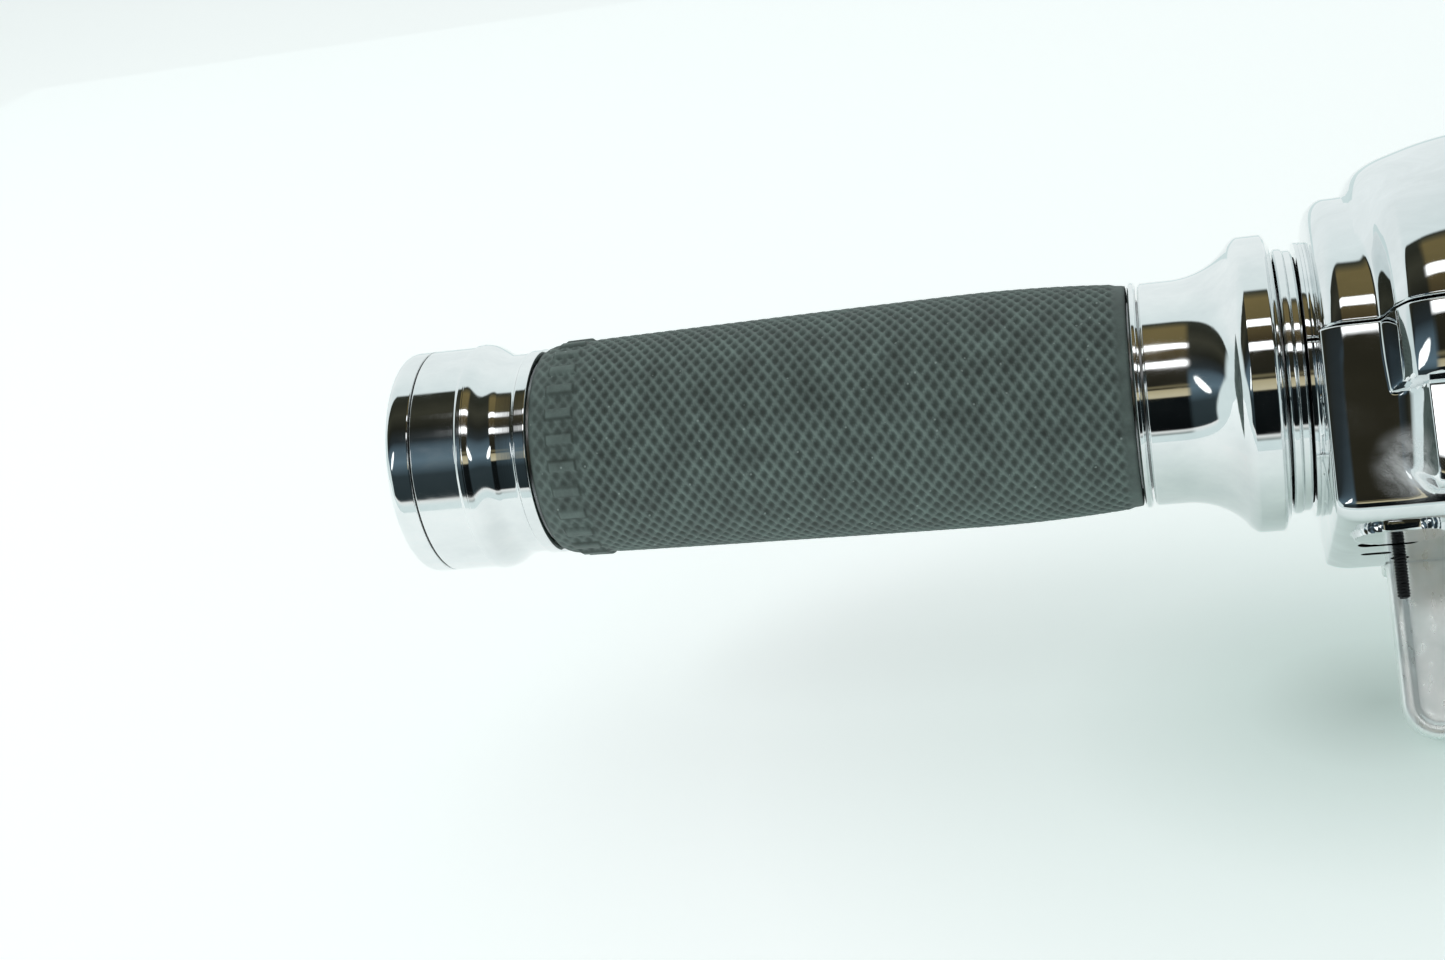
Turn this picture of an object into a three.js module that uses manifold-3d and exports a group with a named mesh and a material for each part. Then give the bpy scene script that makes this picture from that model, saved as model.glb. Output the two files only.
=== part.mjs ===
// Twist grip for a round handlebar, with the two-piece control housing that its inner end runs in.
// Millimetres. +X runs along the handlebar from the closed outer end of the grip to the housing,
// +Z is up when the part lies on a bench. The origin is on the bar axis, at the seam between the
// turning grip (x < 0) and the housing (x > 0).

import * as THREE from 'three';
import { mergeVertices } from 'three/addons/utils/BufferGeometryUtils.js';
import Module from 'manifold-3d';

const wasm = await Module();
wasm.setup();

// Driving dimensions
const sides = 40;             // facets round every turned piece
const gap = 0.3;              // clearance between pieces that touch or slide
const barRadius = 12.7;                // the 25.4 mm handlebar that runs through the bore
const boreRadius = barRadius + 0.25;   // running bore of the tube
const clampRadius = barRadius + 0.15;  // bore where the housing grips the bar
const tubeRadius = 13.95;     // outside of the throttle tube
const seatRadius = tubeRadius + gap;

const capOuter = -137.9;      // outer end of the grip
const capInner = -133.75;     // joint line between the end cap and the collar
const collarOuter = -133.15;
const lipEnd = -115.15;       // thin lip beside the rubber
const rubberOuter = -114.85;
const rubberInner = -24.2;
const trimInner = -22.75;
const bellOuter = -22.45;
const bellInner = -3.35;
const stepInner = -0.9;       // last turning ring before the running gap
const tubeEnd = 24;

const housingTurn = -38;      // degrees about the bar: the split plane leans towards the rider
const mouthStart = 0.3;
const bodyEnd = 48;           // inboard face of the housing
const chamberStart = 3.4;
const chamberEnd = 27;
const mouthRadius = 18.1;
const chamberRadius = 21.5;
const splitGap = 0.15;        // half the gap between the housing halves
const collarRadius = 26;      // round collar above, flat panel below
const bottomLevel = -26.6;    // flat bottom of the lower housing
const ledgeLevel = -10;       // the wide dome stops here on the lower half
const domeSquash = 0.95;      // the dome is a little lower than it is deep

const drum = { start: 3.9, end: 14.6, radius: 19.5, groove: 6.2, grooveHalf: 1.7, grooveRadius: 17.2 };
const frictionAt = { x: 11.3, y: 5 };
const ferruleAt = { x: drum.groove, y: drum.grooveRadius };
const clampScrewAt = { x: 35, y: 21 };
const arm = { left: 9.8, right: 26, front: 8, back: 12.6, tip: -52.5, top: -23.5, footBack: 22.5, corner: 5 };
const armScrewAt = { xs: [14, 21.8], y: 17.8 };

// Materials
const chrome = (tint = 0xd9dcdd) => new THREE.MeshStandardMaterial({ color: tint, roughness: 0.08, metalness: 1 });
const steel = () => new THREE.MeshStandardMaterial({ color: 0x8f9294, roughness: 0.35, metalness: 1 });
const blackSteel = () => new THREE.MeshStandardMaterial({ color: 0x1d1e20, roughness: 0.45, metalness: 0.8 });
const alloy = () => new THREE.MeshStandardMaterial({ color: 0xb4b7ba, roughness: 0.3, metalness: 1 });
const brass = () => new THREE.MeshStandardMaterial({ color: 0xb08d4a, roughness: 0.35, metalness: 1 });
const rubber = () => new THREE.MeshStandardMaterial({ color: 0x3c4743, roughness: 0.8, metalness: 0 });
const acetal = () => new THREE.MeshStandardMaterial({ color: 0x26282a, roughness: 0.5, metalness: 0 });

// Solids
function toSolid(geometry) {
  const bare = geometry.index ? geometry.toNonIndexed() : geometry.clone();
  bare.deleteAttribute('normal');
  bare.deleteAttribute('uv');
  const merged = mergeVertices(bare, 1e-4);
  const vertProperties = new Float32Array(merged.attributes.position.array);
  const triVerts = new Uint32Array(merged.index.array);
  return new wasm.Manifold(new wasm.Mesh({ numProp: 3, vertProperties, triVerts }));
}

function toGeometry(solid) {
  const { vertProperties, triVerts, numProp } = solid.getMesh();
  const points = new Float32Array((vertProperties.length / numProp) * 3);
  for (let i = 0; i < points.length / 3; i++) {
    for (let axis = 0; axis < 3; axis++) points[i * 3 + axis] = vertProperties[i * numProp + axis];
  }
  const geometry = new THREE.BufferGeometry();
  geometry.setAttribute('position', new THREE.BufferAttribute(points, 3));
  geometry.setIndex([...triVerts]);
  geometry.computeVertexNormals();
  return geometry;
}

// A ring or disc turned about the X axis from [x, radius] points that run round its section.
// The section is listed with x rising along the outside, so the faces point outwards.
function turned(section, count = sides) {
  const closed = section.map(([x, radius]) => new THREE.Vector2(radius, -x));
  if (section[0][1] > 0) closed.push(closed[0].clone());
  const geometry = new THREE.LatheGeometry(closed.reverse(), count);
  return geometry.rotateZ(Math.PI / 2);
}

// The same, from the outside profile and a plain bore
const sleeve = (outside, bore, count = sides) =>
  turned([[outside[0][0], bore], ...outside, [outside.at(-1)[0], bore]], count);

const plainRing = (x0, x1, radius, bore, count = sides) => sleeve([[x0, radius], [x1, radius]], bore, count);

const disc = (x0, x1, radius, count = sides) => turned([[x0, 0], [x0, radius], [x1, radius], [x1, 0]], count);

function box(x0, x1, y0, y1, z0, z1) {
  const geometry = new THREE.BoxGeometry(x1 - x0, y1 - y0, z1 - z0);
  return geometry.translate((x0 + x1) / 2, (y0 + y1) / 2, (z0 + z1) / 2);
}

// A stepped pin along Z at (x, y), from [z, radius] points with z rising
function upright(x, y, steps, count = 20) {
  const points = steps.map(([z, radius]) => new THREE.Vector2(radius, z));
  const profile = [new THREE.Vector2(0, steps[0][0]), ...points, new THREE.Vector2(0, steps.at(-1)[0])];
  return new THREE.LatheGeometry(profile, count).rotateX(Math.PI / 2).translate(x, y, 0);
}

// An outline in the Y-Z plane, carried along X
function barOf(outline, x0, x1) {
  const shape = new THREE.Shape(outline.map(([y, z]) => new THREE.Vector2(y, z)));
  const geometry = new THREE.ExtrudeGeometry(shape, { depth: x1 - x0, bevelEnabled: false });
  // the extrusion runs along Z: turn Z to X, X to Y and Y to Z
  const turn = new THREE.Matrix4().set(0, 0, 1, 0, 1, 0, 0, 0, 0, 1, 0, 0, 0, 0, 0, 1);
  return geometry.applyMatrix4(turn).translate(x0, 0, 0);
}

const group = new THREE.Group();
const housing = new THREE.Group();
housing.rotation.x = THREE.MathUtils.degToRad(housingTurn);
group.add(housing);

function place(parent, name, geometry, material) {
  const mesh = new THREE.Mesh(geometry, material);
  mesh.name = name;
  parent.add(mesh);
}

// The turning grip

const capScrew = { head: 4, shank: 2.3, headFace: capOuter + 0.5, seat: capOuter + 3.1, tip: -125.4 };

function endCap() {
  const hole = capScrew.shank + gap;
  return turned([
    [capInner, hole], [capScrew.seat, hole], [capScrew.seat, capScrew.head + gap],
    [capOuter, capScrew.head + gap], [capOuter, 15.4], [capOuter + 0.25, 16.4], [capOuter + 0.9, 17.2],
    [capOuter + 1.8, 17.6], [capOuter + 3, 17.72], [capInner - 0.35, 17.72], [capInner, 17.4],
  ]);
}

function endCapScrew() {
  const { head, shank, headFace, seat, tip } = capScrew;
  const underHead = seat - gap;
  const body = toSolid(turned([
    [headFace, 0], [headFace, head - 0.4], [headFace + 0.4, head], [underHead, head],
    [underHead, shank], [tip, shank], [tip, 0],
  ], 24));
  const socket = toSolid(disc(headFace - 1, headFace + 1.8, 1.9, 6));
  return toGeometry(body.subtract(socket));
}

const outerCollar = () => sleeve([
  [collarOuter, 17.35], [collarOuter + 0.35, 17.75], [-126, 17.75], [-125.4, 18], [-124.9, 18], [-124.3, 17.6],
  [-123.5, 17.1], [-122.6, 16.45], [-121.5, 16], [-117.6, 15.9], [-117, 16.25], [lipEnd - 0.2, 16.25],
  [lipEnd, 16.05],
], seatRadius);

const rubberSleeve = () => sleeve([
  [rubberOuter, 15.4], [-114.2, 16], [-112, 16.5], [-110, 16.9], [-100, 17.15], [-90, 17.35], [-80, 17.45],
  [-70, 17.6], [-55, 17.7], [-47, 17.8], [-40, 17.75], [-33, 17.4], [-28, 17], [rubberInner, 16.6],
], seatRadius);

const innerBell = () => turned([
  [bellOuter, seatRadius], [bellOuter, 16.3], [bellOuter + 0.3, 16.65], [-17.5, 16.65], [-15, 17.05], [-13, 17.7],
  [-12, 18.3], [-11.1, 18.95], [-10.4, 19.5], [-9.7, 20.3], [-9.2, 20.9], [-8.5, 21.6], [-7.9, 21.9],
  [-4.5, 21.9], [-4.1, 21.5], [-3.75, 20.8], [bellInner, 20.2], [bellInner, 18.2], [-9.5, 18.2], [-13, seatRadius],
]);

function cableDrum() {
  const { start, end, radius, groove, grooveHalf, grooveRadius } = drum;
  const body = toSolid(sleeve([
    [start, radius - 0.4], [start + 0.4, radius], [groove - grooveHalf, radius],
    [groove - 0.7, grooveRadius], [groove + 0.7, grooveRadius], [groove + grooveHalf, radius],
    [end - 0.4, radius], [end, radius - 0.4],
  ], seatRadius));
  const nipplePocket = toSolid(disc(start - 1, groove + grooveHalf, 1.9, 16).translate(0, grooveRadius, 0));
  return toGeometry(body.subtract(nipplePocket));
}

place(group, 'end_cap', endCap(), chrome());
place(group, 'end_cap_screw', endCapScrew(), steel());
place(group, 'end_cap_gasket', plainRing(capInner + 0.12, collarOuter - 0.12, 17.3, seatRadius), rubber());
place(group, 'end_plug', plainRing(-132.9, -124, boreRadius - 0.25, capScrew.shank + gap), alloy());
place(group, 'outer_collar', outerCollar(), chrome());
place(group, 'throttle_tube', plainRing(-132.9, tubeEnd, tubeRadius, boreRadius), alloy());
place(group, 'rubber_sleeve', rubberSleeve(), rubber());
place(group, 'trim_ring', sleeve([
  [rubberInner + gap, 16.55], [rubberInner + 0.55, 16.85], [trimInner - 0.3, 16.85], [trimInner, 16.5],
], seatRadius), chrome());
place(group, 'inner_bell', innerBell(), chrome());
place(group, 'step_ring', sleeve([
  [bellInner + gap, 19.3], [-2.7, 19.5], [stepInner - 0.35, 19.5], [stepInner, 19.1],
], seatRadius), chrome());
place(group, 'cable_drum', cableDrum(), acetal());

// The housing, in its own turned frame: -Y is the front, the split plane is z = 0

const cavity = () => toSolid(turned([
  [-1, 0], [-1, mouthRadius], [chamberStart, mouthRadius], [chamberStart, chamberRadius],
  [chamberEnd, chamberRadius], [chamberEnd, clampRadius], [bodyEnd + 1, clampRadius], [bodyEnd + 1, 0],
]));

const roundCollar = () => toSolid(turned([
  [mouthStart, 0], [mouthStart, 20.2], [1.2, 20.8], [1.8, 23], [2.4, 24.4], [3.6, 25.5], [4.8, collarRadius],
  [12, collarRadius], [12, 0],
]));

const dome = () => toSolid(turned([
  [8.8, 0], [8.8, 25], [9.6, 27], [10.4, 29.2], [11.3, 31.4], [12.8, 33.2], [16.8, 34.2], [30, 35], [42, 34.4],
  [45.5, 33.2], [47.3, 31.4], [bodyEnd, 28.5], [bodyEnd, 0],
]).scale(1, 1, domeSquash));

const far = 60;
const above = () => toSolid(box(-far, far, -far, far, splitGap, far));
const below = () => toSolid(box(-far, far, -far, far, -far, -splitGap));

const clampHole = (side) => toSolid(upright(clampScrewAt.x, side * clampScrewAt.y, [[-far, 4.1], [-20, 4.1],
  [-20, 2.7], [16, 2.7]]));

const ferruleHole = () => toSolid(upright(ferruleAt.x, ferruleAt.y, [[-far, 3.3], [-16, 3.3]]));

function upperHousing() {
  let solid = roundCollar().add(dome()).subtract(cavity()).intersect(above());
  for (const side of [-1, 1]) solid = solid.subtract(clampHole(side));
  return toGeometry(solid);
}

// The lower half under the split: flat front and back panels down to a flat bottom
const pan = () => toSolid(barOf([
  [-collarRadius, 0], [-collarRadius, -23.4], [-24.6, -25.8], [-22.4, bottomLevel], [22.4, bottomLevel],
  [24.6, -25.8], [collarRadius, -23.4], [collarRadius, 0],
], 2.2, bodyEnd));

const panFront = () => toSolid(barOf([
  [-23.6, 0], [-23.6, -22], [-21.6, -24.6], [-19, -25.6], [19, -25.6], [21.6, -24.6], [23.6, -22], [23.6, 0],
], 0.9, 3));

// wider cheeks under the dome, past the step in the panel
const cheeks = () => toSolid(box(14.3, bodyEnd, -29, 29, -24, ledgeLevel + 1));

const backCorner = () => toSolid(barOf([[12, -27.5], [27, -14], [27, -27.5]], 0, arm.left - gap));

// a block with round ends along X, from the level low upwards
const oblong = (left, right, radius, y, low, depth) => {
  const shape = new THREE.Shape();
  shape.absarc(right - radius, 0, radius, -Math.PI / 2, Math.PI / 2, false);
  shape.absarc(left + radius, 0, radius, Math.PI / 2, Math.PI * 1.5, false);
  const block = new THREE.ExtrudeGeometry(shape, { depth, bevelEnabled: false, curveSegments: 8 });
  return toSolid(block.translate(0, y, low));
};

const oblongPad = () => oblong(3.6, 16.4, 4.6, -14.4, bottomLevel - 0.9, 2.4);
const drainSlot = () => oblong(4.8, 13, 1.6, -6.4, -30, 12);
const shallowSlot = () => oblong(5.4, 9.6, 0.8, 0.4, -30, 5.6);

const armRecess = () => toSolid(box(arm.left - gap, arm.right + gap, arm.front - gap, far, -far, arm.top + gap));

const armScrewHoles = () => armScrewAt.xs.map((x) => toSolid(upright(x, armScrewAt.y, [[-far, 1.95], [-15.5, 1.95]])));

// the friction screw's bore, with a wider pocket above it for the shoe
const frictionBore = () => toSolid(upright(frictionAt.x, frictionAt.y, [[-far, 1.3], [-23.6, 1.3],
  [-23.6, 2.9], [-18, 2.9]]));

function lowerHousing() {
  const lowDome = dome().intersect(toSolid(box(-far, far, -far, far, ledgeLevel, far)));
  let solid = roundCollar().add(lowDome).add(pan()).add(panFront()).add(cheeks()).intersect(below());
  solid = solid.subtract(cavity()).subtract(backCorner()).add(oblongPad());
  const cuts = [drainSlot(), shallowSlot(), armRecess(), frictionBore(), ferruleHole(), ...armScrewHoles()];
  for (const side of [-1, 1]) cuts.push(clampHole(side));
  for (const cut of cuts) solid = solid.subtract(cut);
  return toGeometry(solid);
}

// Cap screw along Z, head down, with a hexagon socket in the head
function capHeadScrew(x, y, headFace, headTop, headRadius, tip, shank) {
  const body = toSolid(upright(x, y, [[headFace, headRadius - 0.3], [headFace + 0.3, headRadius],
    [headTop, headRadius], [headTop, shank], [tip, shank]]));
  const socket = toSolid(upright(x, y, [[headFace - 1, headRadius * 0.5], [headFace + 1.4, headRadius * 0.5]], 6));
  return toGeometry(body.subtract(socket));
}

function bracketArm() {
  const plate = toSolid(barOf([
    [arm.front, arm.tip], [arm.front, arm.top], [arm.footBack, arm.top], [arm.footBack, bottomLevel],
    [arm.back, bottomLevel], [arm.back, arm.tip],
  ], arm.left, arm.right));
  const outline = new THREE.Shape();
  outline.moveTo(arm.left, 0);
  outline.lineTo(arm.left, arm.tip + arm.corner);
  outline.absarc(arm.left + arm.corner, arm.tip + arm.corner, arm.corner, Math.PI, Math.PI * 1.5, false);
  outline.absarc(arm.right - arm.corner, arm.tip + arm.corner, arm.corner, Math.PI * 1.5, Math.PI * 2, false);
  outline.lineTo(arm.right, 0);
  const prism = new THREE.ExtrudeGeometry(outline, { depth: 40, bevelEnabled: false, curveSegments: 8 });
  let solid = plate.intersect(toSolid(prism.rotateX(Math.PI / 2).translate(0, 30, 0)));
  for (const x of armScrewAt.xs) {
    solid = solid.subtract(toSolid(upright(x, armScrewAt.y, [[-30, 3.3], [-25.2, 3.3], [-25.2, 1.95], [-20, 1.95]])));
  }
  return toGeometry(solid);
}

function frictionScrew() {
  const body = toSolid(upright(frictionAt.x, frictionAt.y, [[-32.6, 0.7], [-32.3, 0.95], [-23.75, 0.95]], 16));
  const slot = toSolid(box(frictionAt.x - 2, frictionAt.x + 2, frictionAt.y - 0.25, frictionAt.y + 0.25, -34, -31.8));
  return toGeometry(body.subtract(slot));
}

// Shoe with a concave top that bears on the drum, kept off it by its rest clearance
function frictionShoe() {
  const blank = toSolid(upright(frictionAt.x, frictionAt.y, [[-22.6, 2.5], [-18.5, 2.5]]));
  return toGeometry(blank.subtract(toSolid(disc(0, 20, drum.radius + 0.9))));
}

// Flat spring under the shoe: a washer-like leaf between the screw and the shoe
const frictionSpring = () => upright(frictionAt.x, frictionAt.y, [[-23.4, 2.4], [-22.9, 2.4]]);

place(housing, 'upper_housing', upperHousing(), chrome(0xdfe2e3));
place(housing, 'lower_housing', lowerHousing(), chrome(0xd4d7d8));
place(housing, 'mouth_seal', sleeve([[-0.5, 17.2], [-0.2, 17.75], [3, 17.75]], tubeRadius + gap), rubber());
for (const [name, side] of [['clamp_screw_front', -1], ['clamp_screw_back', 1]]) {
  place(housing, name, capHeadScrew(clampScrewAt.x, side * clampScrewAt.y, -24.4, -21.1, 3.7, 15.5, 2.35), steel());
}
for (const [name, side] of [['lock_washer_front', -1], ['lock_washer_back', 1]]) {
  const ring = plainRing(-20.85, -20.25, 3.7, 2.65, 20).rotateY(-Math.PI / 2);
  place(housing, name, ring.translate(clampScrewAt.x, side * clampScrewAt.y, 0), steel());
}
place(housing, 'bracket_arm', bracketArm(), chrome());
for (const [i, x] of armScrewAt.xs.entries()) {
  place(housing, `arm_screw_${i + 1}`, capHeadScrew(x, armScrewAt.y, -26.9, -25.5, 3, -15.8, 1.65), steel());
}
place(housing, 'cable_ferrule', plainRing(-24, -19.6, 3, 1.2, 20).rotateY(-Math.PI / 2)
  .translate(ferruleAt.x, ferruleAt.y, 0), brass());
place(housing, 'friction_shoe', frictionShoe(), brass());
place(housing, 'friction_spring', frictionSpring(), steel());
place(housing, 'friction_screw', frictionScrew(), blackSteel());

export default group;
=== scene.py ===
# Motorcycle twist grip with its chrome control housing.
# Lengths are in millimetres here and turned to metres when a mesh is made.
import math

import bmesh
import bpy
import numpy as np
from mathutils import Matrix, Vector


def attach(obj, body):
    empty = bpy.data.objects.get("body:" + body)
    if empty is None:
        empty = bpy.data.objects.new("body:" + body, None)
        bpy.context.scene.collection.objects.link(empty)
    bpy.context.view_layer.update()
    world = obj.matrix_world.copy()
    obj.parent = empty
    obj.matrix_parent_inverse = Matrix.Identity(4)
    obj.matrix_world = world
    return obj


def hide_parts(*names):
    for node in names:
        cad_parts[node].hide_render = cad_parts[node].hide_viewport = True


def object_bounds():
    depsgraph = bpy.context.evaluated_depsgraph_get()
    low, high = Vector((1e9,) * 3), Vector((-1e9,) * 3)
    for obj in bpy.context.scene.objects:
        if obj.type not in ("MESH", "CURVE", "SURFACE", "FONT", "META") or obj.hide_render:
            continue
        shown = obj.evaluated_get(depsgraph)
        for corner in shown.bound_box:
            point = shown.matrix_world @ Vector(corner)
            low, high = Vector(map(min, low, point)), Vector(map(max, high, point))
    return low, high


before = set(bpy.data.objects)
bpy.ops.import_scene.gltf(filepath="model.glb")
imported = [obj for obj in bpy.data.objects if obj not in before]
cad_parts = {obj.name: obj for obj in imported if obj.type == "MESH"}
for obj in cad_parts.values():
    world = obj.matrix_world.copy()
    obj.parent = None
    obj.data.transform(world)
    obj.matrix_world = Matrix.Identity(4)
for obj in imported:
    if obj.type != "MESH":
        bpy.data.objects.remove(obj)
cadBox = [list(corner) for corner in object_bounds()]
mm = 0.001
housingTurn = math.radians(-38)  # the housing's split plane leans this much about the bar

# lens, aim and angle of the view; rise and distance in mm, the rest in degrees
cameraView = dict(lens=50, sensor=36, aimX=-87.94, distance=315.4, rise=7.11,
                  azimuth=14.3, elevation=22.9, roll=10.76)


def makeCamera(view):
    a, e, roll = (math.radians(view[k]) for k in ("azimuth", "elevation", "roll"))
    back = Vector((math.sin(a) * math.cos(e), -math.cos(a) * math.cos(e), math.sin(e)))
    levelRight = Vector((math.cos(a), math.sin(a), 0))
    levelUp = back.cross(levelRight)
    right = math.cos(roll) * levelRight - math.sin(roll) * levelUp
    up = math.sin(roll) * levelRight + math.cos(roll) * levelUp
    place = Vector((view["aimX"], 0, 0)) - view["rise"] * up + view["distance"] * back
    data = bpy.data.cameras.new("camera")
    data.lens, data.sensor_width = view["lens"], view["sensor"]
    data.clip_start, data.clip_end = 0.01, 50
    camera = bpy.data.objects.new("camera", data)
    camera.matrix_world = Matrix.Translation(place * mm) @ Matrix((right, up, back)).transposed().to_4x4()
    bpy.context.scene.collection.objects.link(camera)
    bpy.context.scene.camera = camera


makeCamera(cameraView)
print("camera placed")


def linear(hexColour, alpha=1.0):
    # sRGB hex to linear: c/12.92 below 0.04045, else ((c+0.055)/1.055)^2.4
    parts = [int(hexColour[i:i + 2], 16) / 255 for i in (1, 3, 5)]
    return tuple(c / 12.92 if c <= 0.04045 else ((c + 0.055) / 1.055) ** 2.4 for c in parts) + (alpha,)


def addNode(tree, kind, inputs=None, stops=None, **settings):
    # adds one node; a socket given as an input is linked, anything else is set as its value
    node = tree.nodes.new(kind)
    for key, value in settings.items():
        setattr(node, key, value)
    for key, value in (inputs or {}).items():
        if isinstance(value, bpy.types.NodeSocket):
            tree.links.new(value, node.inputs[key])
        else:
            node.inputs[key].default_value = value
    if stops:
        ramp = node.color_ramp
        while len(ramp.elements) < len(stops):
            ramp.elements.new(0.5)
        for element, (position, colour) in zip(ramp.elements, stops):
            element.position, element.color = position, colour
    return node


def grey(value):
    return (value, value, value, 1)


def newMaterial(name, **shaderValues):
    material = bpy.data.materials.new(name)
    material.use_nodes = True
    tree = material.node_tree
    shader = tree.nodes["Principled BSDF"]
    for key, value in shaderValues.items():
        shader.inputs[key.replace("_", " ")].default_value = value
    return material, tree, shader


def joinShader(tree, shader, colour, rough, bump=None):
    # links a colour socket, a roughness range and, where there is one, a bump to the shader
    tree.links.new(colour, shader.inputs["Base Color"])
    tree.links.new(rough.outputs["Result"], shader.inputs["Roughness"])
    if bump:
        tree.links.new(bump.outputs["Normal"], shader.inputs["Normal"])


def scaled(tree, scale):
    # object coordinates in metres, stretched so that one unit is one pattern step
    where = addNode(tree, "ShaderNodeTexCoord").outputs["Object"]
    return addNode(tree, "ShaderNodeMapping", {"Vector": where, "Scale": scale}).outputs["Vector"]


# Hard chrome on turned steel: nickel under a thin bright chrome plate, polished on the lathe.
# A nearly perfect mirror, with hairlines that run round the piece and faint finger smears.
def makeTurnedChrome():
    material, tree, shader = newMaterial("turnedChrome", Metallic=1.0)
    hairlines = addNode(tree, "ShaderNodeTexNoise", {"Vector": scaled(tree, (5200, 110, 110)), "Scale": 1.0,
                                                     "Detail": 3.0, "Roughness": 0.6})
    smears = addNode(tree, "ShaderNodeTexNoise", {"Vector": scaled(tree, (90, 140, 140)), "Scale": 1.0,
                                                  "Detail": 4.0, "Roughness": 0.65})
    tint = addNode(tree, "ShaderNodeValToRGB", {"Fac": smears.outputs["Fac"]},
                   stops=[(0.3, linear("#e3e7e8")), (0.7, linear("#f1f3f3"))])
    rough = addNode(tree, "ShaderNodeMapRange", {"Value": smears.outputs["Fac"], "From Min": 0.42,
                                                 "From Max": 0.75, "To Min": 0.035, "To Max": 0.13})
    bump = addNode(tree, "ShaderNodeBump", {"Height": hairlines.outputs["Fac"], "Strength": 0.16,
                                            "Distance": 0.000012})
    joinShader(tree, shader, tint.outputs["Color"], rough, bump)
    return material


# Decorative chrome on a zinc die casting: the plate follows the slightly wavy buffed metal,
# so reflections swim a little, and hand buffing leaves milky patches on the flats. The largest is a dull
# bloom about 10 mm across low on the front of the lower half.
def makeCastChrome():
    material, tree, shader = newMaterial("castChrome", Metallic=1.0)
    waves = addNode(tree, "ShaderNodeTexNoise", {"Vector": scaled(tree, (120, 120, 120)), "Scale": 1.0,
                                                 "Detail": 1.0, "Roughness": 0.4})
    haze = addNode(tree, "ShaderNodeTexNoise", {"Vector": scaled(tree, (75, 120, 120)), "Scale": 1.0,
                                                "Detail": 5.0, "Roughness": 0.62, "Distortion": 0.8})
    lines = addNode(tree, "ShaderNodeTexNoise", {"Vector": scaled(tree, (3800, 160, 160)), "Scale": 1.0,
                                                 "Detail": 2.0, "Roughness": 0.5})
    tint = addNode(tree, "ShaderNodeValToRGB", {"Fac": haze.outputs["Fac"]},
                   stops=[(0.35, linear("#e0e4e5")), (0.7, linear("#eef1f2"))])
    rough = addNode(tree, "ShaderNodeMapRange", {"Value": haze.outputs["Fac"], "From Min": 0.5,
                                                 "From Max": 0.72, "To Min": 0.03, "To Max": 0.075})
    where = addNode(tree, "ShaderNodeTexCoord").outputs["Object"]
    far = addNode(tree, "ShaderNodeVectorMath", {0: where, 1: (0.0115, -0.0318, -0.0005)},
                  operation="DISTANCE")
    near = addNode(tree, "ShaderNodeMapRange", {"Value": far.outputs["Value"], "From Min": 0.006,
                                                "From Max": 0.0015}, interpolation_type="SMOOTHSTEP")
    torn = addNode(tree, "ShaderNodeMapRange", {"Value": haze.outputs["Fac"], "From Min": 0.36,
                                                "From Max": 0.6})
    bloom = addNode(tree, "ShaderNodeMath", {0: near.outputs["Result"], 1: torn.outputs["Result"]},
                    operation="MULTIPLY")
    metal = addNode(tree, "ShaderNodeMapRange", {"Value": bloom.outputs[0], "To Min": 1.0, "To Max": 0.3})
    tree.links.new(metal.outputs["Result"], shader.inputs["Metallic"])
    swim = addNode(tree, "ShaderNodeBump", {"Height": waves.outputs["Fac"], "Strength": 0.05,
                                            "Distance": 0.0003})
    bump = addNode(tree, "ShaderNodeBump", {"Height": lines.outputs["Fac"], "Strength": 0.08,
                                            "Distance": 0.000012, "Normal": swim.outputs["Normal"]})
    joinShader(tree, shader, tint.outputs["Color"], rough, bump)
    return material


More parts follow.
